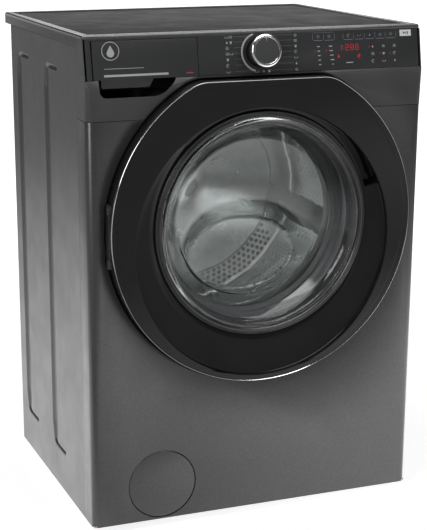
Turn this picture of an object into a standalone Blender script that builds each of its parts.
"""Front-loading washing machine, built from its separate pieces.

Lengths are in millimetres and are turned into metres when a piece is made.
x runs to the right, y runs from the front panel's face (0) to the back and
z runs up from the floor. A last shift in y centres the whole machine.
"""
import math

import bmesh
import bpy
from mathutils import Matrix, Vector

MM = 0.001

# ---- overall sizes -------------------------------------------------------
WIDTH = 600.0
HEIGHT = 850.0
DOOR_PROUD = 26.0          # how far the door stands in front of the panel
WORKTOP_REAR = 514.0       # from the front panel's face
CABINET_REAR = WORKTOP_REAR - 42.0
CABINET_BOTTOM = 20.0
SIDE_FLANGE = 18.8         # the side sheets fold in behind by this much
BEAD_PLACES = (228.0, 412.0)  # pressed beads of each side sheet
BEAD_HALF = 17.5
BEAD_DEPTH = 4.0
BEAD_LOW_Z = 96.0
BEAD_HIGH_Z = HEIGHT - 65.0
SERVICE_HOLE_R = 150.0
SERVICE_COVER_R = 165.0
GAP = 0.3                  # between pieces that touch
RUNNING = 0.6              # between pieces that turn or slide
SHEET = 1.2                # steel sheet of the cabinet
FRONT_Y = -(WORKTOP_REAR - DOOR_PROUD) / 2

# ---- front: seam, ledge and leaning fascia -------------------------------
SEAM_Z = HEIGHT - 134.0
LEDGE_LOW_Z = HEIGHT - 84.0
LEDGE_TOP_Z = HEIGHT - 70.2
FASCIA_LOW_Y = 6.0
FASCIA_TOP_Y = 17.6
FASCIA_LOW_Z = LEDGE_TOP_Z + 0.5
FASCIA_TOP_Z = HEIGHT - 7.0
FASCIA_WALL = 3.5
FASCIA_SIDE_GAP = 3.8      # dark joint between the fascia and the side
PANEL_WALL = 1.8           # moulded upper panel
RETURN_DEPTH = 50.0        # front panels wrap round the sides this far
RAIL_Y = 20.0              # rail behind the fascia
RAIL_WALL = 1.5
RAIL_TOP_Z = HEIGHT - 50.0
DRAWER_RAIL_Z = HEIGHT - 66.0  # the rail is lower under the drawer

# ---- worktop ---------------------------------------------------------------
WORKTOP_SKIRT = 20.0
WORKTOP_RIM = 14.0
BOARD_WALL = 10.2
BOARD_INSET = 2.5          # the board lies this far below the rim
BOARD_LEDGE = 14.0
WORKTOP_NOTCH_Y = 41.0

# ---- axis of drum, bowl and door -------------------------------------------
AXIS_Z = HEIGHT - 319.0
DOOR_R = 270.0
DOOR_FLAT_Z = AXIS_Z + 243.5
DOOR_CORNER_R = 60.0
DOOR_BACK = 18.0
DOOR_RECESS_GAP = 3.0      # between the door and the recess it closes into
RECESS_WALL = 2.2
RECESS_BACK = 24.0
RECESS_FLOOR = 1.5
BEZEL_R = 191.0            # round rim of the glass
PORTHOLE_R = BEZEL_R - 15.0
TRIM_WALL = 2.7
TRIM_BACK = -20.0
DISH_R = 229.0
DISH_Z = AXIS_Z - 31.0
DISH_FRONT = -14.0
DISH_BACK = -8.0
BEZEL_INNER_R = BEZEL_R - 11.0
BEZEL_FRONT = -16.0
BOWL_MOUTH_R = BEZEL_R - 13.0
BOWL_SHOULDER_R = BEZEL_R - 51.0
BOWL_END_R = BEZEL_R - 71.0
BOWL_DEPTH = 96.0
BOWL_WALL = 4.0
INNER_FRAME_R = 240.0
INNER_FRAME_WALL = 2.2

# ---- door hinge, handle and latch ------------------------------------------
HINGE_X = -(DOOR_R - 2.0)
HINGE_Y = -14.0
HINGE_SPREAD = 45.0        # each knuckle above and below the axis height
HINGE_ARM_HEIGHT = 14.0
HINGE_KNUCKLE_R = 5.5
HINGE_PIN_R = 2.5
HINGE_ARM_WALL = 5.4
HANDLE_ANGLE_LOW = 14.0
HANDLE_ANGLE_HIGH = 46.0
POCKET_R_LOW = BEZEL_R + 5.0  # finger opening in the dish
POCKET_R_HIGH = 226.0
POCKET_ROOM_R = POCKET_R_HIGH + 1.0
POCKET_BACK = 13.0
HANDLE_R_LOW = 214.0
HANDLE_R_HIGH = POCKET_ROOM_R - RUNNING
HANDLE_END = 4.0           # degrees between the lever and each pocket end
HANDLE_STEPS = 6
HANDLE_FRONT = -10.0
HANDLE_BACK = 6.0
HANDLE_PIVOT_R = HANDLE_R_HIGH - 1.4
HANDLE_PIVOT_Y = HANDLE_FRONT + 1.0
LATCH_X = 225.0
LATCH_Y = 8.0
LATCH_HEIGHT = 10.0
LATCH_TIP_Y = 44.0
LATCH_SLOT_HALF = 9.0      # the slot in the door is this far above and below
LATCH_PIN_R = 2.0
HINGE_BLOCK_RIGHT = HINGE_X + 13.0

# ---- tub and drum ----------------------------------------------------------
DRUM_R = 235.0
DRUM_WALL = 1.2
DRUM_FRONT_Y = 78.0
DRUM_BACK_Y = 374.0
DRUM_MOUTH_R = PORTHOLE_R - 16.0
DRUM_CORNER = 10.0
SHAFT_R = 15.0
BEARING_R = 30.0
HUB_R = 48.0
NOSE_R = 19.5
LIFTER_HALF_WIDTH = 28.0
LIFTER_HEIGHT = 40.0
LIFTER_FRONT_Y = DRUM_FRONT_Y + 26.0
LIFTER_BACK_Y = DRUM_BACK_Y - 22.0
LIFTERS = 3
TUB_R = DRUM_R + 17.0
TUB_WALL = 3.0
TUB_FRONT_Y = DRUM_FRONT_Y - 12.0
TUB_SPLIT_Y = 230.0
TUB_BACK_Y = DRUM_BACK_Y + 26.0
TUB_END_WALL = 6.0
TUB_MOUTH_R = PORTHOLE_R + 2.0
HUB_BACK_Y = TUB_BACK_Y + 21.0

# ---- drive -----------------------------------------------------------------
PULLEY_R = 140.0
PULLEY_FRONT_Y = HUB_BACK_Y + 3.0
PULLEY_BACK_Y = PULLEY_FRONT_Y + 12.0
MOTOR_PULLEY_R = 12.5
MOTOR_X = 45.0
MOTOR_Z = 150.0
MOTOR_R = 55.0
MOTOR_FRONT_Y = 265.0
MOTOR_BACK_Y = PULLEY_FRONT_Y - 19.0
MOTOR_SHAFT_R = 6.0
BELT_WALL = 3.0
BELT_FRONT_Y = PULLEY_FRONT_Y + 1.0
BELT_BACK_Y = PULLEY_BACK_Y - 1.0

# ---- suspension --------------------------------------------------------------
SPRING_X = TUB_R - 37.0
SPRING_Y = 350.0
SPRING_R = 11.0
SPRING_WIRE_R = 2.0
SPRING_LOW_Z = AXIS_Z + 8.3 + math.sqrt(TUB_R**2 - (SPRING_X - SPRING_R - SPRING_WIRE_R)**2)
SPRING_TOP_Z = HEIGHT - 50.0
SPRING_TURNS = 6
DAMPER_X = TUB_R - 82.0
DAMPER_Y = 250.0
DAMPER_R = 17.0
DAMPER_ROD_R = 7.0
DAMPER_LOW_Z = 40.0
DAMPER_FLOOR_Z = 110.0     # solid up to here, hollow above
DAMPER_TOP_Z = 200.0
DAMPER_HEAD_R = DAMPER_ROD_R + 4.0
DAMPER_ROD_TOP_Z = AXIS_Z - 2.5 - math.sqrt(TUB_R**2 - (DAMPER_X - DAMPER_HEAD_R)**2)

# ---- detergent drawer --------------------------------------------------------
DRAWER_LEFT = -(WIDTH / 2 - 16.0)
DRAWER_RIGHT = DRAWER_LEFT + 177.0
DRAWER_TOP_Z = HEIGHT - 9.5
TRAY_LEFT = DRAWER_LEFT + 3.0
TRAY_RIGHT = DRAWER_RIGHT - 4.0
TRAY_LOW_Z = HEIGHT - 65.4
TRAY_TOP_Z = HEIGHT - 24.0
TRAY_FRONT_Y = 18.2
TRAY_BACK_Y = 272.0
TRAY_WALL = 2.0
TRAY_DIVIDERS = (TRAY_LEFT + 81.0, TRAY_LEFT + 121.0)
HOUSING_LEFT = DRAWER_LEFT - 7.0
HOUSING_RIGHT = DRAWER_RIGHT + 2.0
HOUSING_LOW_Z = HEIGHT - 88.0
HOUSING_FRONT_Y = 26.2
HOUSING_BACK_Y = 300.0
HOUSING_WALL = 2.0

# ---- dial --------------------------------------------------------------------
DIAL_X = 1.0
DIAL_Z = HEIGHT - 36.0
DIAL_R = 22.4
DIAL_RING_R = 27.0
DIAL_PROUD = 32.5

# ---- drain filter, pump, feet ---------------------------------------------------
FILTER_R = 60.7
FILTER_X = -175.0
FILTER_Z = CABINET_BOTTOM + FILTER_R + 3.3
FILTER_WALL = 2.5
PUMP_R = 42.0
PUMP_Y = 80.0
PUMP_FRONT_Y = 14.0
PUMP_ROOM_BACK_Y = 76.0
PUMP_BACK_Y = 112.0
PUMP_MOTOR_R = 30.0
PUMP_MOTOR_BACK_Y = 150.0
PLUG_R = 29.5
PLUG_FRONT_Y = 10.0
PLUG_BACK_Y = 68.0
FOOT_X = WIDTH / 2 - 50.0
FOOT_FRONT_Y = 88.0
FOOT_REAR_Y = CABINET_REAR - 52.0
FOOT_R = 18.0
FOOT_PAD = 8.0
STUD_R = 4.0
BASE_WALL = 3.0
BASE_BOSS_TOP = 36.0

# ---- connections at the back ---------------------------------------------------
INLET_X = -(WIDTH / 2 - 60.0)
INLET_Z = HEIGHT - 55.0
INLET_R = 13.0
DRAIN_X = 150.0
DRAIN_Z = HEIGHT - 80.0
DRAIN_R = 12.0
GLAND_X = WIDTH / 2 - 60.0
GLAND_Z = HEIGHT - 55.0
GLAND_R = 9.0
CONNECTION_BACK = CABINET_REAR + 28.0

# ---- filling, draining and heating ----------------------------------------------
FILL_X = -150.0
FILL_Y = 190.0
FILL_LOW_Z = AXIS_Z + TUB_R - 35.0
FILL_SPOUT_R = 14.0
SUMP_X = -120.0
SUMP_Y = 125.0
SUMP_TOP_Z = AXIS_Z - (TUB_R - 17.0)
HEATER_HALF = 30.0
HEATER_Z = AXIS_Z - (DRUM_R + 7.0)
HEATER_ROD_R = 3.2

# ---- how finely round shapes are divided ------------------------------------------
BIG_SIDES = 40
DRUM_SIDES = 32
ROUND_SIDES = 16
SMALL_SIDES = 8

# name: (colour, roughness, metallic)
FINISHES = {
    "graphite_metal": ((0.060, 0.058, 0.058), 0.38, 0.6),
    "graphite_moulding": ((0.045, 0.044, 0.045), 0.42, 0.0),
    "gloss_black": ((0.014, 0.013, 0.014), 0.08, 0.0),
    "dark_plastic": ((0.020, 0.020, 0.021), 0.5, 0.0),
    "chrome": ((0.80, 0.80, 0.80), 0.08, 1.0),
    "worktop": ((0.060, 0.060, 0.062), 0.5, 0.0),
    "galvanised": ((0.52, 0.53, 0.54), 0.45, 1.0),
    "stainless": ((0.62, 0.62, 0.62), 0.28, 1.0),
    "aluminium": ((0.60, 0.60, 0.61), 0.45, 1.0),
    "rubber": ((0.16, 0.16, 0.165), 0.7, 0.0),
    "black_rubber": ((0.02, 0.02, 0.02), 0.8, 0.0),
    "white_plastic": ((0.72, 0.73, 0.72), 0.45, 0.0),
    "tub_plastic": ((0.45, 0.46, 0.46), 0.5, 0.0),
    "concrete": ((0.42, 0.41, 0.39), 0.9, 0.0),
    "glass": ((0.85, 0.87, 0.88), 0.03, 0.0),
}


# ---- helpers -----------------------------------------------------------------
def block(x, y, z):
    """A box between three (low, high) pairs."""
    shape = bmesh.new()
    bmesh.ops.create_cube(shape, size=1.0)
    size = Vector((x[1] - x[0], y[1] - y[0], z[1] - z[0]))
    centre = Vector((x[0] + x[1], y[0] + y[1], z[0] + z[1])) / 2
    bmesh.ops.scale(shape, vec=size, verts=shape.verts)
    bmesh.ops.translate(shape, vec=centre, verts=shape.verts)
    return shape


def on_axes(first, second, along, axis):
    """A point from two coordinates across an axis and one along it."""
    if axis == "X":
        return Vector((along, first, second))
    if axis == "Y":
        return Vector((first, along, second))
    return Vector((first, second, along))


def prism(outline, axis, low, high):
    """An outline pushed from low to high along an axis."""
    shape = bmesh.new()
    corners = [shape.verts.new(on_axes(a, b, low, axis)) for a, b in outline]
    face = shape.faces.new(corners)
    grown = bmesh.ops.extrude_face_region(shape, geom=[face])["geom"]
    moved = [item for item in grown if isinstance(item, bmesh.types.BMVert)]
    step = on_axes(0.0, 0.0, high - low, axis)
    bmesh.ops.translate(shape, vec=step, verts=moved)
    bmesh.ops.recalc_face_normals(shape, faces=shape.faces)
    return shape


def circle(centre, radius, sides):
    """Corners of a round outline; its first corner lies half a side round."""
    step = 2 * math.pi / sides
    return [
        (centre[0] + radius * math.cos(step * (k + 0.5)), centre[1] + radius * math.sin(step * (k + 0.5)))
        for k in range(sides)
    ]


def disc(centre, radius, low, high, axis="Y", sides=ROUND_SIDES):
    """A solid cylinder along an axis."""
    return prism(circle(centre, radius, sides), axis, low, high)


def hole_radius(radius, clearance, sides):
    """Radius of a many-sided hole whose flats clear a turning pin."""
    return (radius + clearance) / math.cos(math.pi / sides)


def turned(profile, centre, sides, axis="Y"):
    """A closed (radius, along) profile spun once round an axis."""
    shape = bmesh.new()
    corners = [shape.verts.new((radius, 0.0, along)) for radius, along in profile]
    edges = [shape.edges.new((corners[k - 1], corners[k])) for k in range(len(corners))]
    start = Matrix.Rotation(math.pi / sides, 3, "Z")
    bmesh.ops.rotate(shape, cent=(0, 0, 0), matrix=start, verts=shape.verts)
    bmesh.ops.spin(
        shape, geom=corners + edges, cent=(0, 0, 0), axis=(0, 0, 1),
        angle=2 * math.pi, steps=sides, use_merge=True, use_duplicate=False,
    )
    bmesh.ops.remove_doubles(shape, verts=shape.verts, dist=0.001)
    bmesh.ops.dissolve_degenerate(shape, dist=0.0005, edges=shape.edges)
    if axis == "Y":
        upright = Matrix(((1, 0, 0), (0, 0, 1), (0, 1, 0)))
        bmesh.ops.transform(shape, matrix=upright.to_4x4(), verts=shape.verts)
    bmesh.ops.translate(shape, vec=on_axes(centre[0], centre[1], 0.0, axis), verts=shape.verts)
    bmesh.ops.recalc_face_normals(shape, faces=shape.faces)
    return shape


def turn(shape, centre, axis, degrees):
    """Turn a shape about a line through a point."""
    turning = Matrix.Rotation(math.radians(degrees), 3, axis)
    bmesh.ops.rotate(shape, cent=centre, matrix=turning, verts=shape.verts)
    return shape


def tube(points, radius, sides=8):
    """A round bar or hose with flat ends along a line of points."""
    data = bpy.data.curves.new("route", "CURVE")
    data.dimensions = "3D"
    data.bevel_depth = radius
    data.bevel_resolution = sides // 2 - 2
    data.use_fill_caps = True
    spline = data.splines.new("POLY")
    spline.points.add(len(points) - 1)
    for place, point in zip(spline.points, points):
        place.co = (point[0], point[1], point[2], 1.0)
    guide = bpy.data.objects.new("route", data)
    mesh = bpy.data.meshes.new_from_object(guide)
    shape = bmesh.new()
    shape.from_mesh(mesh)
    bmesh.ops.remove_doubles(shape, verts=shape.verts, dist=0.001)
    bmesh.ops.recalc_face_normals(shape, faces=shape.faces)
    bpy.data.objects.remove(guide)
    bpy.data.curves.remove(data)
    bpy.data.meshes.remove(mesh)
    return shape


def smooth_route(controls, steps):
    """Points on one Bezier curve through four control points."""
    a, b, c, d = (Vector(point) for point in controls)
    route = []
    for k in range(steps + 1):
        t = k / steps
        s = 1 - t
        route.append(a * s**3 + b * 3 * s * s * t + c * 3 * s * t * t + d * t**3)
    return route


def finish_material(name, finish):
    """The piece's own material, from its finish."""
    colour, roughness, metallic = FINISHES[finish]
    material = bpy.data.materials.new(name)
    material.use_nodes = True
    shader = material.node_tree.nodes["Principled BSDF"]
    shader.inputs["Base Color"].default_value = (*colour, 1.0)
    shader.inputs["Roughness"].default_value = roughness
    shader.inputs["Metallic"].default_value = metallic
    if finish == "glass":
        shader.inputs["Transmission Weight"].default_value = 1.0
    return material


def place(name, shape, pivot):
    """Put a shape in the scene, in metres, with its origin on its pivot."""
    bmesh.ops.translate(shape, vec=-pivot, verts=shape.verts)
    bmesh.ops.scale(shape, vec=(MM, MM, MM), verts=shape.verts)
    mesh = bpy.data.meshes.new(name)
    shape.to_mesh(mesh)
    shape.free()
    item = bpy.data.objects.new(name, mesh)
    item.location = (pivot + Vector((0, FRONT_Y, 0))) * MM
    bpy.context.scene.collection.objects.link(item)
    return item


def piece(name, finish, body, add=(), cut=(), pivot=(0, 0, 0)):
    """One named sub-part: its body, what is joined to it, then what is cut."""
    pivot = Vector(pivot)
    item = place(name, body, pivot)
    item.data.materials.append(finish_material(name, finish))
    item.data.shade_smooth()
    item.data.set_sharp_from_angle(angle=math.radians(32))
    for operation, shapes in (("UNION", add), ("DIFFERENCE", cut)):
        for number, shape in enumerate(shapes):
            tool = place(f"{name}_{operation.lower()}_{number}", shape, pivot)
            tool.hide_render = True
            tool.display_type = "WIRE"
            step = item.modifiers.new(tool.name, "BOOLEAN")
            step.operation = operation
            step.object = tool
            step.solver = "EXACT"
    return item


def fascia_y(z):
    """Depth of the leaning control panel's face at a height."""
    slope = (FASCIA_TOP_Y - FASCIA_LOW_Y) / (FASCIA_TOP_Z - FASCIA_LOW_Z)
    return FASCIA_LOW_Y + slope * (z - FASCIA_LOW_Z)


def door_outline(inset):
    """The door's round outline with its flat top, drawn in by an inset."""
    radius = DOOR_R - inset
    top = DOOR_FLAT_Z - inset
    corner = DOOR_CORNER_R - inset
    corner_z = top - corner
    corner_x = math.sqrt((radius - corner) ** 2 - (corner_z - AXIS_Z) ** 2)
    tangent = math.atan2(corner_z - AXIS_Z, corner_x)
    around = math.pi + 2 * tangent
    outline = []
    for k in range(BIG_SIDES + 1):
        angle = tangent - around * k / BIG_SIDES
        outline.append((radius * math.cos(angle), AXIS_Z + radius * math.sin(angle)))
    corner_steps = 4
    corner_turn = math.pi / 2 - tangent
    for k in range(1, corner_steps + 1):
        angle = math.pi - tangent - corner_turn * k / corner_steps
        outline.append((-corner_x + corner * math.cos(angle), corner_z + corner * math.sin(angle)))
    for k in range(corner_steps):
        angle = math.pi / 2 - corner_turn * k / corner_steps
        outline.append((corner_x + corner * math.cos(angle), corner_z + corner * math.sin(angle)))
    return outline


def arc_band(radius_low, radius_high, angle_low, angle_high, steps=8):
    """Outline of a curved band round the door's centre."""
    outline = []
    for radius, start, end in ((radius_low, angle_low, angle_high), (radius_high, angle_high, angle_low)):
        for k in range(steps + 1):
            angle = math.radians(start + (end - start) * k / steps)
            outline.append((radius * math.cos(angle), AXIS_Z + radius * math.sin(angle)))
    return outline


# ---- cabinet -----------------------------------------------------------------
CENTRE = (0.0, AXIS_Z)
SIDE_INNER = WIDTH / 2 - SHEET
BASE_HALF = SIDE_INNER - GAP
SKIRT_LOW_Z = HEIGHT - WORKTOP_SKIRT
PANEL_TOP_Z = SKIRT_LOW_Z - GAP
REAR_PANEL_BACK = CABINET_REAR - SHEET - GAP
REAR_PANEL_FRONT = REAR_PANEL_BACK - SHEET
RECESS_OUTER = -(DOOR_RECESS_GAP + RECESS_WALL)
PANEL_CUT = RECESS_OUTER - GAP


def make_base():
    """Floor pan with four boss blocks for the feet and two damper lugs."""
    low = CABINET_BOTTOM
    plate = block((-BASE_HALF, BASE_HALF), (SHEET + GAP, REAR_PANEL_FRONT - GAP), (low, low + BASE_WALL))
    bosses = [
        block((x - 20, x + 20), (y - 20, y + 20), (low + 1, BASE_BOSS_TOP))
        for x in (-FOOT_X, FOOT_X) for y in (FOOT_FRONT_Y, FOOT_REAR_Y)
    ]
    lugs = [
        block((x - 15, x + 15), (DAMPER_Y - 15, DAMPER_Y + 15), (low + 1, DAMPER_LOW_Z))
        for x in (-DAMPER_X, DAMPER_X)
    ]
    stud_hole = hole_radius(STUD_R, RUNNING, SMALL_SIDES)
    holes = [
        disc((x, y), stud_hole, low - 5, BASE_BOSS_TOP + 5, "Z", SMALL_SIDES)
        for x in (-FOOT_X, FOOT_X) for y in (FOOT_FRONT_Y, FOOT_REAR_Y)
    ]
    piece("base_frame", "galvanised", plate, bosses + lugs, holes)


def make_feet():
    """Four feet: rubber pad, stud and the nut that locks them to the pan."""
    nut_low = CABINET_BOTTOM - 7.0
    corners = (
        ("foot_front_left", -FOOT_X, FOOT_FRONT_Y), ("foot_front_right", FOOT_X, FOOT_FRONT_Y),
        ("foot_rear_left", -FOOT_X, FOOT_REAR_Y), ("foot_rear_right", FOOT_X, FOOT_REAR_Y),
    )
    for name, x, y in corners:
        profile = [
            (0, 0), (FOOT_R, 0), (FOOT_R, FOOT_PAD - 3), (FOOT_R - 6, FOOT_PAD), (STUD_R, FOOT_PAD),
            (STUD_R, nut_low), (8.0, nut_low), (8.0, CABINET_BOTTOM - GAP),
            (STUD_R, CABINET_BOTTOM - GAP), (STUD_R, BASE_BOSS_TOP + 8), (0, BASE_BOSS_TOP + 8),
        ]
        piece(name, "black_rubber", turned(profile, (x, y), SMALL_SIDES, "Z"), pivot=(x, y, 0))


def make_side_panels():
    """Left and right sheets with two pressed beads, rear flange and spring hook."""
    for name, side in (("left_side_panel", -1), ("right_side_panel", 1)):
        def across(a, b):
            return (min(side * a, side * b), max(side * a, side * b))
        outer = WIDTH / 2
        plan = [
            (side * outer, RETURN_DEPTH + GAP), (side * outer, CABINET_REAR),
            (side * (SIDE_INNER - SIDE_FLANGE), CABINET_REAR), (side * (SIDE_INNER - SIDE_FLANGE), CABINET_REAR - SHEET),
            (side * SIDE_INNER, CABINET_REAR - SHEET), (side * SIDE_INNER, RETURN_DEPTH + GAP),
        ]
        sheet = prism(plan, "Z", CABINET_BOTTOM, PANEL_TOP_Z)
        channels = []
        grooves = []
        for y in BEAD_PLACES:
            channels.append(block(
                across(SIDE_INNER - BEAD_DEPTH, outer - SHEET / 2),
                (y - BEAD_HALF - SHEET, y + BEAD_HALF + SHEET), (BEAD_LOW_Z - SHEET, BEAD_HIGH_Z + SHEET)))
            grooves.append(block(
                across(outer - BEAD_DEPTH, outer + 2),
                (y - BEAD_HALF, y + BEAD_HALF), (BEAD_LOW_Z, BEAD_HIGH_Z)))
        hook = block(across(SPRING_X - 14, outer - SHEET / 2), (SPRING_Y - 14, SPRING_Y + 14),
                     (SPRING_TOP_Z + GAP, SPRING_TOP_Z + 4))
        piece(name, "graphite_metal", sheet, channels + [hook], grooves)


def make_rear_panel():
    """Rear sheet with a round service opening, its cover and pipe holes."""
    sheet = block((-BASE_HALF, BASE_HALF), (REAR_PANEL_FRONT, REAR_PANEL_BACK), (CABINET_BOTTOM, PANEL_TOP_Z))
    before = REAR_PANEL_FRONT - 10
    after = REAR_PANEL_BACK + 10
    cut = [disc(CENTRE, SERVICE_HOLE_R, before, after, sides=DRUM_SIDES)]
    pipes = (((INLET_X, INLET_Z), INLET_R), ((DRAIN_X, DRAIN_Z), DRAIN_R), ((GLAND_X, GLAND_Z), GLAND_R))
    for centre, radius in pipes:
        cut.append(disc(centre, radius + RUNNING, before, after, sides=ROUND_SIDES))
    piece("rear_panel", "galvanised", sheet, (), cut)
    cover_front = REAR_PANEL_BACK + GAP
    cover = disc(CENTRE, SERVICE_COVER_R, cover_front, cover_front + SHEET, sides=DRUM_SIDES)
    piece("rear_service_cover", "galvanised", cover)


def make_front_panels():
    """Lower steel panel, upper moulded panel with the drawer pull, and recess."""
    outer = WIDTH / 2
    plan = [
        (-outer, 0), (outer, 0), (outer, RETURN_DEPTH), (SIDE_INNER, RETURN_DEPTH), (SIDE_INNER, SHEET),
        (-SIDE_INNER, SHEET), (-SIDE_INNER, RETURN_DEPTH), (-outer, RETURN_DEPTH),
    ]
    recess = door_outline(PANEL_CUT)
    filter_hole = hole_radius(FILTER_R, RUNNING, DRUM_SIDES)
    piece(
        "front_panel", "graphite_metal", prism(plan, "Z", CABINET_BOTTOM, SEAM_Z), (),
        [prism(recess, "Y", -10, 40), disc((FILTER_X, FILTER_Z), filter_hole, -10, 10, sides=DRUM_SIDES)],
    )

    seam = SEAM_Z + GAP
    above = HEIGHT + 10
    rail_back = RAIL_Y + RAIL_WALL
    side_view = [
        (0, seam), (0, LEDGE_LOW_Z), (FASCIA_LOW_Y, LEDGE_TOP_Z), (FASCIA_TOP_Y, FASCIA_TOP_Z),
        (WORKTOP_NOTCH_Y - GAP, FASCIA_TOP_Z), (WORKTOP_NOTCH_Y - GAP, PANEL_TOP_Z), (RETURN_DEPTH, PANEL_TOP_Z),
        (RETURN_DEPTH, seam),
    ]
    behind = [
        (PANEL_WALL, seam - 5), (PANEL_WALL, LEDGE_LOW_Z - 0.6), (FASCIA_LOW_Y + 1.2, LEDGE_TOP_Z - RAIL_WALL),
        (rail_back, LEDGE_TOP_Z - RAIL_WALL), (rail_back, above), (RETURN_DEPTH + 5, above),
        (RETURN_DEPTH + 5, seam - 5),
    ]
    in_front = [(-5, LEDGE_TOP_Z), (RAIL_Y, LEDGE_TOP_Z), (RAIL_Y, above), (-5, above)]
    across_rail = (RAIL_Y - 1, rail_back + 1)
    pocket = [
        (DRAWER_LEFT + 7, HEIGHT - 60), (DRAWER_LEFT + 7, HEIGHT - 88), (DRAWER_LEFT + 10, HEIGHT - 94),
        (DRAWER_LEFT + 16, HEIGHT - 96), (DRAWER_RIGHT - 71, HEIGHT - 96), (DRAWER_RIGHT - 59, HEIGHT - 91),
        (DRAWER_RIGHT - 39, HEIGHT - 73), (DRAWER_RIGHT - 38, HEIGHT - 60),
    ]
    piece(
        "upper_front_panel", "graphite_moulding", prism(side_view, "X", -outer, outer), (),
        [
            prism(behind, "X", -SIDE_INNER, SIDE_INNER), prism(in_front, "X", -SIDE_INNER, SIDE_INNER),
            block((-SIDE_INNER, SIDE_INNER), across_rail, (RAIL_TOP_Z, above)),
            block((-SIDE_INNER, DRAWER_RIGHT + 8), across_rail, (DRAWER_RAIL_Z, above)),
            prism(recess, "Y", -10, 40), prism(pocket, "Y", -10, rail_back + 1),
        ],
    )

    floor_back = RECESS_BACK + RECESS_FLOOR
    slot = 13.0
    arm_half = HINGE_ARM_HEIGHT / 2 + RUNNING
    cut = [
        prism(door_outline(-DOOR_RECESS_GAP), "Y", -10, RECESS_BACK),
        disc(CENTRE, PORTHOLE_R, -10, 40, sides=BIG_SIDES),
        block((LATCH_X - slot, LATCH_X + slot), (-10, 40), (AXIS_Z - slot, AXIS_Z + slot)),
    ]
    for z in (AXIS_Z - HINGE_SPREAD, AXIS_Z + HINGE_SPREAD):
        cut.append(block((HINGE_X - 22, HINGE_X + 8), (-10, RECESS_BACK - 0.5), (z - arm_half, z + arm_half)))
    piece("porthole_surround", "dark_plastic", prism(door_outline(RECESS_OUTER), "Y", SHEET, floor_back), (), cut)


def make_fascia():
    """Leaning control panel with end strip, drawer opening and dial hole."""
    half = SIDE_INNER - FASCIA_SIDE_GAP
    back = FASCIA_WALL
    flange_back = FASCIA_TOP_Y + WORKTOP_RIM - GAP
    profile = [
        (FASCIA_LOW_Y, FASCIA_LOW_Z), (FASCIA_TOP_Y, FASCIA_TOP_Z), (flange_back, FASCIA_TOP_Z),
        (flange_back, FASCIA_TOP_Z - 2), (FASCIA_TOP_Y + back, FASCIA_TOP_Z - 2),
        (FASCIA_LOW_Y + back, FASCIA_LOW_Z + 2), (RAIL_Y - GAP, FASCIA_LOW_Z + 2), (RAIL_Y - GAP, FASCIA_LOW_Z),
    ]
    opening = block(
        (DRAWER_LEFT - 2, DRAWER_RIGHT + RUNNING), (-10, RAIL_Y + 0.8), (FASCIA_LOW_Z - 10, DRAWER_TOP_Z + GAP))
    hole = disc((0, 0), hole_radius(DIAL_R, RUNNING, ROUND_SIDES), -20, 20, "Z", ROUND_SIDES)
    bmesh.ops.transform(hole, matrix=dial_matrix(), verts=hole.verts)
    piece("control_fascia", "graphite_moulding", prism(profile, "X", -half, half), (), [opening, hole])
    board_front = 26.0
    piece(
        "control_board", "white_plastic",
        block(
            (-60, WIDTH / 2 - 20), (board_front, WORKTOP_NOTCH_Y - 0.5),
            (HEIGHT - 64, HEIGHT - BOARD_INSET - BOARD_WALL - GAP)),
    )


def dial_point(along):
    """A point on the dial's axis, a distance out from the fascia's face."""
    lean = fascia_lean()
    return Vector((
        DIAL_X, fascia_y(DIAL_Z) - along * math.cos(lean), DIAL_Z + along * math.sin(lean),
    ))


def fascia_lean():
    """How far the control panel leans back, in radians."""
    return math.atan2(FASCIA_TOP_Y - FASCIA_LOW_Y, FASCIA_TOP_Z - FASCIA_LOW_Z)


def dial_matrix():
    """Turns a shape drawn along +z so that it stands out of the fascia."""
    turning = Matrix.Rotation(math.pi / 2 - fascia_lean(), 4, "X")
    return Matrix.Translation(dial_point(0.0)) @ turning


def make_dial():
    """Programme dial: a black barrel with a chrome ring round its cap."""
    dial_sides = ROUND_SIDES * 3 // 2
    barrel = [
        (0, -8.0), (25.0, -8.0), (25.0, -5.0), (DIAL_R, -5.0), (DIAL_R, DIAL_PROUD - 1.5), (0, DIAL_PROUD - 1.5),
    ]
    ring = [
        (DIAL_R + GAP, DIAL_PROUD - 11), (DIAL_RING_R - 1.5, DIAL_PROUD - 11), (DIAL_RING_R, DIAL_PROUD - 7),
        (DIAL_RING_R, DIAL_PROUD - 1), (DIAL_RING_R - 1.5, DIAL_PROUD), (DIAL_R + GAP, DIAL_PROUD),
    ]
    for name, finish, profile in (("dial_knob", "dark_plastic", barrel), ("dial_ring", "chrome", ring)):
        shape = turned(profile, (0, 0), dial_sides, "Z")
        bmesh.ops.transform(shape, matrix=dial_matrix(), verts=shape.verts)
        piece(name, finish, shape, pivot=dial_point(0.0))


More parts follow.
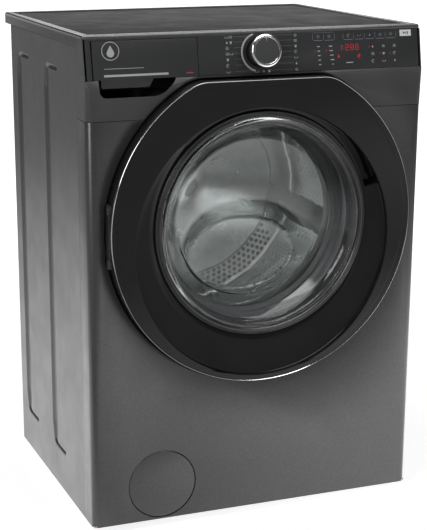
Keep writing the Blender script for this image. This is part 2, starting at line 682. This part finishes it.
def make_worktop():
    """Moulded rim round a board that lies slightly below it."""
    outer = WIDTH / 2
    hole = outer - WORKTOP_RIM - BOARD_LEDGE
    board_low = HEIGHT - BOARD_INSET - BOARD_WALL
    front = FASCIA_TOP_Y
    rim = block((-outer, outer), (front, WORKTOP_REAR), (SKIRT_LOW_Z, HEIGHT))
    pocket = block(
        (-outer + WORKTOP_RIM, outer - WORKTOP_RIM), (front + WORKTOP_RIM, WORKTOP_REAR - WORKTOP_RIM),
        (board_low - GAP, HEIGHT + 5))
    through = block(
        (-hole, hole), (front + WORKTOP_RIM + BOARD_LEDGE, WORKTOP_REAR - WORKTOP_RIM - BOARD_LEDGE),
        (SKIRT_LOW_Z - 5, board_low + 1))
    notch = block(
        (-outer - 5, outer + 5), (front - 5, WORKTOP_NOTCH_Y), (SKIRT_LOW_Z - 5, FASCIA_TOP_Z + GAP))
    piece("worktop_frame", "graphite_moulding", rim, (), [pocket, through, notch])
    piece("worktop_board", "worktop", block(
        (-outer + WORKTOP_RIM + GAP, outer - WORKTOP_RIM - GAP),
        (front + WORKTOP_RIM + GAP, WORKTOP_REAR - WORKTOP_RIM - GAP), (board_low, board_low + BOARD_WALL)))


# ---- rear connections ----------------------------------------------------------
def make_rear_connections():
    """Water inlet valve, drain spigot and the gland of the mains lead."""
    behind = REAR_PANEL_FRONT - GAP
    outside = REAR_PANEL_BACK + GAP
    valve = block((INLET_X - 22, INLET_X + 22), (behind - 38, behind), (INLET_Z - 20, INLET_Z + 20))
    nozzle = disc((INLET_X, INLET_Z), INLET_R, behind - 5, CONNECTION_BACK)
    piece("inlet_valve", "white_plastic", valve, [nozzle])
    spigots = (
        ("drain_outlet", "white_plastic", DRAIN_X, DRAIN_Z, DRAIN_R, CONNECTION_BACK),
        ("mains_gland", "dark_plastic", GLAND_X, GLAND_Z, GLAND_R, CONNECTION_BACK - 12),
    )
    for name, finish, x, z, radius, back in spigots:
        profile = [
            (0, behind - 12), (radius + 5, behind - 12), (radius + 5, behind), (radius, behind), (radius, outside),
            (radius + 5, outside), (radius + 5, outside + 3), (radius, outside + 3), (radius - 1.5, back), (0, back),
        ]
        piece(name, finish, turned(profile, (x, z), ROUND_SIDES))


# ---- tub, drum and drive ---------------------------------------------------------
def make_tub():
    """Two tub halves with their lugs, the bearing, weights and heater."""
    inner = TUB_R - TUB_WALL
    front = [
        (TUB_MOUTH_R, TUB_FRONT_Y), (TUB_R, TUB_FRONT_Y), (TUB_R, TUB_SPLIT_Y), (inner, TUB_SPLIT_Y),
        (inner, TUB_FRONT_Y + 4), (TUB_MOUTH_R, TUB_FRONT_Y + 4),
    ]
    fill_boss = disc((FILL_X, FILL_Y), 16, AXIS_Z + TUB_R - 83, FILL_LOW_Z, "Z", ROUND_SIDES)
    sump_boss = disc((SUMP_X, SUMP_Y), 20, SUMP_TOP_Z, SUMP_TOP_Z + 40, "Z", ROUND_SIDES)
    hollow = disc(CENTRE, inner - 0.2, TUB_FRONT_Y + 4, TUB_SPLIT_Y + 10, sides=DRUM_SIDES)
    piece("tub_front", "tub_plastic", turned(front, CENTRE, DRUM_SIDES), [fill_boss, sump_boss], [hollow])

    wall_front = TUB_BACK_Y - TUB_END_WALL
    bore = BEARING_R + GAP
    rear = [
        (inner, TUB_SPLIT_Y + GAP), (TUB_R, TUB_SPLIT_Y + GAP), (TUB_R, TUB_BACK_Y), (HUB_R, TUB_BACK_Y),
        (HUB_R, HUB_BACK_Y), (bore, HUB_BACK_Y), (bore, wall_front - 5), (HUB_R, wall_front - 5),
        (HUB_R, wall_front), (inner, wall_front),
    ]
    lugs = [
        block((x - 12, x + 12), (SPRING_Y - 14, SPRING_Y + 14), (SPRING_LOW_Z - 50, SPRING_LOW_Z))
        for x in (-SPRING_X, SPRING_X)
    ]
    lugs += [
        block((x - 12, x + 12), (DAMPER_Y - 12, DAMPER_Y + 12), (DAMPER_ROD_TOP_Z + GAP, DAMPER_ROD_TOP_Z + 32))
        for x in (-DAMPER_X, DAMPER_X)
    ]
    lugs.append(block(
        (MOTOR_X - 26, MOTOR_X + 26), (MOTOR_FRONT_Y + 15, TUB_BACK_Y - 15),
        (MOTOR_Z + MOTOR_R + GAP, AXIS_Z - TUB_R + 21)))
    hollow = disc(CENTRE, inner - 0.2, TUB_SPLIT_Y - 10, wall_front, sides=DRUM_SIDES)
    heater_holes = [
        disc((x, HEATER_Z), hole_radius(HEATER_ROD_R, GAP, SMALL_SIDES), wall_front - 5, TUB_BACK_Y + 5,
             sides=SMALL_SIDES)
        for x in (-HEATER_HALF, HEATER_HALF)
    ]
    piece("tub_rear", "tub_plastic", turned(rear, CENTRE, DRUM_SIDES), lugs, [hollow] + heater_holes)

    bearing_back = HUB_BACK_Y - 3
    bearing = [
        (SHAFT_R + GAP, wall_front), (BEARING_R, wall_front), (BEARING_R, bearing_back),
        (SHAFT_R + GAP, bearing_back),
    ]
    piece("drum_bearing", "aluminium", turned(bearing, CENTRE, ROUND_SIDES * 2))

    weight_back = TUB_FRONT_Y - GAP
    weight_front = weight_back - 32
    weight_r = TUB_R - 4
    weight_hole_r = TUB_MOUTH_R + 12
    weight = [
        (weight_hole_r, weight_front), (weight_r, weight_front), (weight_r, weight_back),
        (weight_hole_r, weight_back),
    ]
    lock_gap = block((weight_hole_r, weight_r + 12), (0, weight_back + 1), (AXIS_Z - 42, AXIS_Z + 42))
    piece("front_counterweight", "concrete", turned(weight, CENTRE, DRUM_SIDES), (), [lock_gap])

    route = [(-HEATER_HALF, TUB_BACK_Y + 3, HEATER_Z)]
    bend_steps = 8
    bend_y = TUB_FRONT_Y + 74
    for k in range(bend_steps + 1):
        angle = math.pi * k / bend_steps
        route.append((-HEATER_HALF * math.cos(angle), bend_y - HEATER_HALF * math.sin(angle), HEATER_Z))
    route.append((HEATER_HALF, TUB_BACK_Y + 3, HEATER_Z))
    flange = block((-48, 48), (TUB_BACK_Y + GAP, TUB_BACK_Y + 6), (HEATER_Z - 11, HEATER_Z + 11))
    piece("heater", "stainless", flange, [tube(route, HEATER_ROD_R)])


def make_drum():
    """Drum shell, its three lifters, the spider with the shaft, and pulley."""
    corner = DRUM_CORNER
    wall = DRUM_WALL
    shell = [
        (DRUM_MOUTH_R, DRUM_FRONT_Y), (DRUM_R - corner, DRUM_FRONT_Y), (DRUM_R, DRUM_FRONT_Y + corner),
        (DRUM_R, DRUM_BACK_Y - corner), (DRUM_R - corner, DRUM_BACK_Y), (NOSE_R + GAP, DRUM_BACK_Y),
        (NOSE_R + GAP, DRUM_BACK_Y - wall), (DRUM_R - corner - 0.5, DRUM_BACK_Y - wall),
        (DRUM_R - wall, DRUM_BACK_Y - corner - 0.5), (DRUM_R - wall, DRUM_FRONT_Y + corner + 0.5),
        (DRUM_R - corner - 0.5, DRUM_FRONT_Y + wall), (DRUM_MOUTH_R, DRUM_FRONT_Y + wall),
    ]
    pivot = (0, 0, AXIS_Z)
    piece("drum", "stainless", turned(shell, CENTRE, DRUM_SIDES), pivot=pivot)

    seat = DRUM_R - wall - GAP
    base_z = -math.sqrt((seat * math.cos(math.pi / DRUM_SIDES)) ** 2 - LIFTER_HALF_WIDTH**2)
    top_z = base_z + LIFTER_HEIGHT
    outline = [
        (-LIFTER_HALF_WIDTH, base_z), (LIFTER_HALF_WIDTH, base_z), (LIFTER_HALF_WIDTH * 0.45, top_z - 8),
        (LIFTER_HALF_WIDTH * 0.2, top_z), (-LIFTER_HALF_WIDTH * 0.2, top_z), (-LIFTER_HALF_WIDTH * 0.45, top_z - 8),
    ]
    for number in range(LIFTERS):
        lifter = prism([(x, AXIS_Z + z) for x, z in outline], "Y", LIFTER_FRONT_Y, LIFTER_BACK_Y)
        turn(lifter, (0, 0, AXIS_Z), "Y", 45 + 360 * number / LIFTERS)
        piece(f"lifter_{number + 1}", "white_plastic", lifter, pivot=pivot)

    arm_r = DRUM_R - corner - 4
    arm_half = 17.0
    star = []
    for number in range(LIFTERS):
        middle = math.radians(45 + 360 * number / LIFTERS)
        spread = math.atan2(arm_half, arm_r)
        for angle, radius in ((middle - spread, arm_r), (middle + spread, arm_r), (middle + math.pi / 3, 46.0)):
            star.append((radius * math.cos(angle), AXIS_Z + radius * math.sin(angle)))
    arms_back = DRUM_BACK_Y + 12
    shaft = [
        (0, DRUM_BACK_Y - wall - 3), (NOSE_R, DRUM_BACK_Y - wall - 3), (NOSE_R, arms_back - 2), (40, arms_back - 2),
        (40, arms_back + 2), (SHAFT_R, arms_back + 2), (SHAFT_R, PULLEY_BACK_Y + 6), (0, PULLEY_BACK_Y + 6),
    ]
    piece(
        "drum_spider", "aluminium", prism(star, "Y", DRUM_BACK_Y + GAP, arms_back),
        [turned(shaft, CENTRE, ROUND_SIDES * 2)], pivot=pivot,
    )
    rim = PULLEY_R - 8
    hub = 32.0
    web_front = PULLEY_FRONT_Y + 5
    web_back = PULLEY_FRONT_Y + 8
    pulley = [
        (SHAFT_R + GAP, PULLEY_FRONT_Y - 1), (hub, PULLEY_FRONT_Y - 1), (hub, web_front), (rim, web_front),
        (rim, PULLEY_FRONT_Y), (PULLEY_R, PULLEY_FRONT_Y), (PULLEY_R, PULLEY_BACK_Y), (rim, PULLEY_BACK_Y),
        (rim, web_back), (hub, web_back), (hub, PULLEY_BACK_Y + 2), (SHAFT_R + GAP, PULLEY_BACK_Y + 2),
    ]
    piece("drum_pulley", "aluminium", turned(pulley, CENTRE, ROUND_SIDES * 3 // 2), pivot=pivot)


def belt_outline(extra):
    """Both pulleys' arcs and the straight runs between them, moved outward."""
    run_x = MOTOR_X
    run_z = MOTOR_Z - AXIS_Z
    length = math.hypot(run_x, run_z)
    heading = math.atan2(run_z, run_x)
    spread = math.acos((PULLEY_R - MOTOR_PULLEY_R) / length)
    outline = []
    arcs = (
        ((0.0, AXIS_Z), PULLEY_R, heading + spread, 2 * math.pi - 2 * spread, DRUM_SIDES),
        ((MOTOR_X, MOTOR_Z), MOTOR_PULLEY_R, heading - spread, 2 * spread, SMALL_SIDES),
    )
    for centre, radius, start, sweep, steps in arcs:
        reach = (radius + extra) / math.cos(sweep / steps / 2)
        for k in range(steps + 1):
            angle = start + sweep * k / steps
            outline.append((centre[0] + reach * math.cos(angle), centre[1] + reach * math.sin(angle)))
    return outline


def make_drive():
    """Motor under the tub, its pulley and the belt up to the drum pulley."""
    bore = hole_radius(MOTOR_SHAFT_R, RUNNING, ROUND_SIDES)
    centre = (MOTOR_X, MOTOR_Z)
    body = [
        (0, MOTOR_FRONT_Y), (MOTOR_R - 8, MOTOR_FRONT_Y), (MOTOR_R, MOTOR_FRONT_Y + 8), (MOTOR_R, MOTOR_BACK_Y - 8),
        (MOTOR_R - 8, MOTOR_BACK_Y), (bore, MOTOR_BACK_Y), (bore, MOTOR_BACK_Y - 20), (0, MOTOR_BACK_Y - 20),
    ]
    piece("motor", "aluminium", turned(body, centre, ROUND_SIDES))
    pulley = [
        (0, MOTOR_BACK_Y - 18), (MOTOR_SHAFT_R, MOTOR_BACK_Y - 18), (MOTOR_SHAFT_R, PULLEY_FRONT_Y),
        (MOTOR_PULLEY_R, PULLEY_FRONT_Y), (MOTOR_PULLEY_R, PULLEY_BACK_Y), (0, PULLEY_BACK_Y),
    ]
    piece("motor_pulley", "aluminium", turned(pulley, centre, ROUND_SIDES), pivot=(MOTOR_X, 0, MOTOR_Z))
    piece(
        "drive_belt", "black_rubber",
        prism(belt_outline(GAP + BELT_WALL), "Y", BELT_FRONT_Y, BELT_BACK_Y), (),
        [prism(belt_outline(GAP), "Y", BELT_FRONT_Y - 5, BELT_BACK_Y + 5)],
    )


def make_suspension():
    """Two top springs and two friction dampers that carry the tub."""
    for side, name in ((-1, "left"), (1, "right")):
        x = side * SPRING_X
        low = SPRING_LOW_Z + GAP + SPRING_WIRE_R
        high = SPRING_TOP_Z - SPRING_WIRE_R
        points_per_turn = 8
        count = SPRING_TURNS * points_per_turn
        coil = []
        for k in range(count + 1):
            angle = 2 * math.pi * k / points_per_turn
            height = low + (high - low) * k / count
            coil.append((x + SPRING_R * math.cos(angle), SPRING_Y + SPRING_R * math.sin(angle), height))
        piece(f"top_spring_{name}", "galvanised", tube(coil, SPRING_WIRE_R, 4))

        centre = (side * DAMPER_X, DAMPER_Y)
        bore = DAMPER_ROD_R + RUNNING
        rod_low = DAMPER_FLOOR_Z + 2
        cylinder = [
            (0, DAMPER_LOW_Z + GAP), (DAMPER_R, DAMPER_LOW_Z + GAP), (DAMPER_R, DAMPER_TOP_Z), (bore, DAMPER_TOP_Z),
            (bore, DAMPER_FLOOR_Z), (0, DAMPER_FLOOR_Z),
        ]
        rod = [
            (0, rod_low), (DAMPER_ROD_R, rod_low), (DAMPER_ROD_R, DAMPER_ROD_TOP_Z - 6),
            (DAMPER_HEAD_R, DAMPER_ROD_TOP_Z - 6), (DAMPER_HEAD_R, DAMPER_ROD_TOP_Z), (0, DAMPER_ROD_TOP_Z),
        ]
        piece(f"damper_cylinder_{name}", "dark_plastic", turned(cylinder, centre, SMALL_SIDES, "Z"))
        piece(f"damper_rod_{name}", "galvanised", turned(rod, centre, SMALL_SIDES, "Z"))


# ---- water path -----------------------------------------------------------------
def make_water_path():
    """Sump hose, drain pump and its screw-in filter."""
    pump_top = FILTER_Z + PUMP_R + 8
    straight = 12.0
    hose_top = Vector((SUMP_X, SUMP_Y, SUMP_TOP_Z - GAP))
    hose_low = Vector((FILTER_X, PUMP_Y, pump_top + GAP))
    down = Vector((0, 0, straight))
    bend = smooth_route([hose_top - down, hose_top - down * 6, hose_low + down * 6, hose_low + down], 8)
    piece("sump_hose", "black_rubber", tube([hose_top, *bend, hose_low], 16, 8))

    mouth = hole_radius(PLUG_R, RUNNING, ROUND_SIDES)
    chamber = [
        (0, PUMP_ROOM_BACK_Y), (mouth, PUMP_ROOM_BACK_Y), (mouth, PUMP_FRONT_Y), (PUMP_R, PUMP_FRONT_Y),
        (PUMP_R, PUMP_BACK_Y), (PUMP_MOTOR_R, PUMP_BACK_Y + 6), (PUMP_MOTOR_R, PUMP_MOTOR_BACK_Y),
        (0, PUMP_MOTOR_BACK_Y),
    ]
    centre = (FILTER_X, FILTER_Z)
    foot = block((FILTER_X - 25, FILTER_X + 25), (40, 105), (CABINET_BOTTOM + BASE_WALL + GAP, FILTER_Z - PUMP_R + 6))
    inlet = disc((FILTER_X, PUMP_Y), 18, FILTER_Z + PUMP_R - 8, pump_top, "Z", ROUND_SIDES)
    piece("pump_housing", "white_plastic", turned(chamber, centre, ROUND_SIDES), [foot, inlet])

    flange_back = PUMP_FRONT_Y - 0.4
    plug = [
        (0, PLUG_FRONT_Y), (PLUG_R + 5, PLUG_FRONT_Y), (PLUG_R + 5, flange_back), (PLUG_R, flange_back),
        (PLUG_R, PLUG_BACK_Y), (0, PLUG_BACK_Y),
    ]
    grip = block((FILTER_X - 24, FILTER_X + 24), (4, PLUG_FRONT_Y + 1), (FILTER_Z - 4, FILTER_Z + 4))
    piece("filter_plug", "white_plastic", turned(plug, centre, ROUND_SIDES), [grip], pivot=(FILTER_X, 0, FILTER_Z))
    piece(
        "filter_cover", "graphite_metal", disc(centre, FILTER_R, 0, FILTER_WALL, sides=DRUM_SIDES),
        pivot=(FILTER_X, 0, FILTER_Z),
    )


# ---- detergent drawer -------------------------------------------------------------
def make_drawer():
    """Drawer front with its grip lip, the tray, and the housing it slides in."""
    face = [
        (FASCIA_LOW_Y, FASCIA_LOW_Z), (fascia_y(DRAWER_TOP_Z), DRAWER_TOP_Z), (fascia_y(DRAWER_TOP_Z) + 3, DRAWER_TOP_Z),
        (FASCIA_LOW_Y + 3, FASCIA_LOW_Z),
    ]
    lip = block(
        (DRAWER_LEFT + 12, DRAWER_RIGHT - 83), (FASCIA_LOW_Y + 0.4, FASCIA_LOW_Y + 3.0),
        (HEIGHT - 83, FASCIA_LOW_Z + 3))
    pivot = (TRAY_LEFT, TRAY_FRONT_Y, TRAY_LOW_Z)
    piece("drawer_front", "graphite_moulding", prism(face, "X", DRAWER_LEFT, DRAWER_RIGHT), [lip], pivot=pivot)

    edges = [TRAY_LEFT + TRAY_WALL, *TRAY_DIVIDERS, TRAY_RIGHT - TRAY_WALL]
    pockets = []
    for k in range(len(edges) - 1):
        left = edges[k] + (0 if k == 0 else TRAY_WALL / 2)
        right = edges[k + 1] - (0 if k == len(edges) - 2 else TRAY_WALL / 2)
        pockets.append(block(
            (left, right), (TRAY_FRONT_Y + TRAY_WALL, TRAY_BACK_Y - TRAY_WALL), (TRAY_LOW_Z + TRAY_WALL, TRAY_TOP_Z + 5)))
    tray = block((TRAY_LEFT, TRAY_RIGHT), (TRAY_FRONT_Y, TRAY_BACK_Y), (TRAY_LOW_Z, TRAY_TOP_Z))
    piece("drawer_tray", "white_plastic", tray, (), pockets, pivot=pivot)

    shell = block((HOUSING_LEFT, HOUSING_RIGHT), (HOUSING_FRONT_Y, HOUSING_BACK_Y), (HOUSING_LOW_Z, PANEL_TOP_Z))
    room = block(
        (TRAY_LEFT - RUNNING, TRAY_RIGHT + RUNNING), (HOUSING_FRONT_Y - 5, TRAY_BACK_Y + 6),
        (TRAY_LOW_Z - GAP, PANEL_TOP_Z - HOUSING_WALL))
    spout = disc((FILL_X, FILL_Y), FILL_SPOUT_R, FILL_LOW_Z + GAP, HOUSING_LOW_Z + 5, "Z")
    piece("dispenser_housing", "white_plastic", shell, [spout], [room])


# ---- door ---------------------------------------------------------------------------
def make_door():
    """Door ring, trim, dish, bezel, glass bowl, back frame, hinge and latch."""
    pivot = (HINGE_X, HINGE_Y, AXIS_Z)
    trim_inner = door_outline(TRIM_WALL)
    notch_top = HINGE_SPREAD + HINGE_ARM_HEIGHT / 2 + 1.5
    notch = block((-300, HINGE_BLOCK_RIGHT + GAP), (TRIM_BACK + 0.5, 40), (AXIS_Z - notch_top, AXIS_Z + notch_top))
    ring_cut = [
        disc(CENTRE, BEZEL_R + 4.5, -60, 60, sides=BIG_SIDES),
        disc((0, DISH_Z), DISH_R, -60, DISH_BACK, sides=BIG_SIDES),
        prism(arc_band(POCKET_R_LOW - 6, POCKET_ROOM_R, HANDLE_ANGLE_LOW, HANDLE_ANGLE_HIGH), "Y",
              TRIM_BACK, POCKET_BACK),
        block((LATCH_X - 12, LATCH_X + 12), (LATCH_Y - 9, 40), (AXIS_Z - LATCH_SLOT_HALF, AXIS_Z + LATCH_SLOT_HALF)),
        notch,
    ]
    piece(
        "door_ring", "gloss_black", prism(door_outline(0.0), "Y", TRIM_BACK + GAP, DOOR_BACK),
        [prism(door_outline(TRIM_WALL + GAP), "Y", -DOOR_PROUD, DOOR_BACK - 5)], ring_cut, pivot=pivot,
    )
    piece(
        "door_trim", "chrome", prism(door_outline(0.0), "Y", -DOOR_PROUD, TRIM_BACK), (),
        [prism(trim_inner, "Y", -60, 60)], pivot=pivot,
    )
    grip_hole = prism(
        arc_band(POCKET_R_LOW, POCKET_R_HIGH, HANDLE_ANGLE_LOW + 1, HANDLE_ANGLE_HIGH - 1), "Y", -60, 60)
    piece(
        "door_dish", "gloss_black", disc((0, DISH_Z), DISH_R - GAP, DISH_FRONT, DISH_BACK - GAP, sides=BIG_SIDES), (),
        [disc(CENTRE, BEZEL_R + GAP, -60, 60, sides=BIG_SIDES), grip_hole], pivot=pivot,
    )
    flange_front = DISH_BACK + GAP
    flange_back = flange_front + BOWL_WALL
    bezel = [
        (BEZEL_INNER_R, BEZEL_FRONT + 3), (BEZEL_INNER_R + 3, BEZEL_FRONT), (BEZEL_R - 3, BEZEL_FRONT),
        (BEZEL_R, BEZEL_FRONT + 2), (BEZEL_R, flange_front - GAP), (BEZEL_INNER_R, flange_front - GAP),
    ]
    piece("bowl_bezel", "aluminium", turned(bezel, CENTRE, BIG_SIDES), pivot=pivot)
    wall = BOWL_WALL
    bowl = [
        (0, BOWL_DEPTH), (BOWL_END_R, BOWL_DEPTH), (BOWL_SHOULDER_R, BOWL_DEPTH - 8), (BOWL_MOUTH_R - 2, 10),
        (BOWL_MOUTH_R, flange_back), (BEZEL_R - GAP, flange_back), (BEZEL_R - GAP, flange_front),
        (BOWL_MOUTH_R - wall, flange_front), (BOWL_MOUTH_R - 2 - wall, 10),
        (BOWL_SHOULDER_R - wall, BOWL_DEPTH - 8 - wall), (BOWL_END_R - wall, BOWL_DEPTH - wall), (0, BOWL_DEPTH - wall),
    ]
    piece("door_bowl", "glass", turned(bowl, CENTRE, BIG_SIDES), pivot=pivot)
    collar_front = flange_back + GAP
    plate_front = DOOR_BACK + GAP
    back = [
        (BOWL_MOUTH_R + 3, collar_front), (BEZEL_R - 1, collar_front), (BEZEL_R - 1, plate_front),
        (INNER_FRAME_R, plate_front), (INNER_FRAME_R, plate_front + INNER_FRAME_WALL),
        (BOWL_MOUTH_R + 3, plate_front + INNER_FRAME_WALL),
    ]
    latch_slot = block(
        (LATCH_X - 12, LATCH_X + 40), (-20, 40), (AXIS_Z - LATCH_SLOT_HALF, AXIS_Z + LATCH_SLOT_HALF))
    piece("door_inner_frame", "dark_plastic", turned(back, CENTRE, BIG_SIDES), (), [latch_slot], pivot=pivot)

    block_half = HINGE_SPREAD - HINGE_ARM_HEIGHT / 2 - GAP - 1
    arm = block((HINGE_X - 1.7, HINGE_BLOCK_RIGHT), (HINGE_Y - 4.5, DOOR_BACK), (AXIS_Z - block_half, AXIS_Z + block_half))
    reach = HINGE_SPREAD + HINGE_ARM_HEIGHT / 2
    pin = disc((HINGE_X, HINGE_Y), HINGE_PIN_R, AXIS_Z - reach, AXIS_Z + reach, "Z", SMALL_SIDES)
    piece("hinge_arm", "galvanised", arm, [pin], pivot=pivot)

    half = HINGE_ARM_HEIGHT / 2
    seat = block(
        (HINGE_X + 2.6, HINGE_X + 26), (DOOR_BACK + INNER_FRAME_WALL + 1.2, RECESS_BACK - GAP),
        (AXIS_Z - reach - 6, AXIS_Z + reach + 6))
    parts = []
    bores = []
    for z in (AXIS_Z - HINGE_SPREAD, AXIS_Z + HINGE_SPREAD):
        parts.append(disc((HINGE_X, HINGE_Y), HINGE_KNUCKLE_R, z - half, z + half, "Z", SMALL_SIDES))
        parts.append(block((HINGE_X - 1.6, HINGE_X - 1.6 + HINGE_ARM_WALL), (HINGE_Y + 3, RECESS_BACK - 1), (z - half, z + half)))
        bores.append(disc((HINGE_X, HINGE_Y), hole_radius(HINGE_PIN_R, GAP, SMALL_SIDES), z - half - 2, z + half + 2,
                          "Z", SMALL_SIDES))
    piece("hinge_bracket", "galvanised", seat, parts, bores)


def make_handle_and_latch():
    """Pull lever in the dish's finger pocket, and the hook that it releases."""
    middle = math.radians((HANDLE_ANGLE_LOW + HANDLE_ANGLE_HIGH) / 2)
    pivot = (HANDLE_PIVOT_R * math.cos(middle), HANDLE_PIVOT_Y, AXIS_Z + HANDLE_PIVOT_R * math.sin(middle))
    bar = arc_band(
        HANDLE_R_LOW, HANDLE_R_HIGH, HANDLE_ANGLE_LOW + HANDLE_END, HANDLE_ANGLE_HIGH - HANDLE_END, HANDLE_STEPS)
    piece("door_handle", "dark_plastic", prism(bar, "Y", HANDLE_FRONT, HANDLE_BACK), pivot=pivot)

    hook = [
        (LATCH_X - 4, LATCH_Y - 5), (LATCH_X + 4, LATCH_Y - 5), (LATCH_X + 4, LATCH_TIP_Y - 8),
        (LATCH_X + 9, LATCH_TIP_Y - 8), (LATCH_X + 2, LATCH_TIP_Y), (LATCH_X - 4, LATCH_TIP_Y),
    ]
    half = LATCH_HEIGHT / 2
    pin_half = LATCH_SLOT_HALF - GAP
    pin = disc((LATCH_X, LATCH_Y), LATCH_PIN_R, AXIS_Z - pin_half, AXIS_Z + pin_half, "Z", SMALL_SIDES)
    piece(
        "latch_hook", "galvanised", prism(hook, "Z", AXIS_Z - half, AXIS_Z + half), [pin],
        pivot=(LATCH_X, LATCH_Y, AXIS_Z),
    )

    front = RECESS_BACK + RECESS_FLOOR + GAP
    body = block((LATCH_X - 14, LATCH_X + 34), (front, front + 34), (AXIS_Z - 30, AXIS_Z + 30))
    mouth = block((LATCH_X - 11, LATCH_X + 14), (front - 5, LATCH_TIP_Y + 6), (AXIS_Z - half - 2, AXIS_Z + half + 2))
    piece("door_lock", "dark_plastic", body, (), [mouth])


def make_gasket():
    """Folded rubber bellows from the recess to the tub's mouth."""
    grip = RECESS_BACK + RECESS_FLOOR + GAP
    mouth = TUB_MOUTH_R - GAP
    front = DOOR_BACK + 2
    inner = PORTHOLE_R - 3
    seat = PORTHOLE_R - RUNNING
    lip = PORTHOLE_R + 8
    fold_y = TUB_FRONT_Y - 19
    neck_y = TUB_FRONT_Y - 10
    back = TUB_FRONT_Y + 6
    profile = [
        (inner, front), (seat, front), (seat, grip), (lip, grip), (lip, grip + 3), (PORTHOLE_R + 1, grip + 3),
        (PORTHOLE_R + 5, fold_y), (mouth, neck_y), (mouth, back), (TUB_MOUTH_R - 12, back),
        (TUB_MOUTH_R - 4, TUB_FRONT_Y), (TUB_MOUTH_R - 4, neck_y), (PORTHOLE_R + 1, fold_y), (inner, front + 12),
    ]
    piece("door_gasket", "rubber", turned(profile, CENTRE, DRUM_SIDES))


def build():
    """Clear the scene and make every piece."""
    for item in list(bpy.data.objects):
        bpy.data.objects.remove(item)
    make_base()
    make_feet()
    make_side_panels()
    make_rear_panel()
    make_front_panels()
    make_fascia()
    make_dial()
    make_worktop()
    make_rear_connections()
    make_tub()
    make_drum()
    make_drive()
    make_suspension()
    make_water_path()
    make_drawer()
    make_door()
    make_handle_and_latch()
    make_gasket()


build()
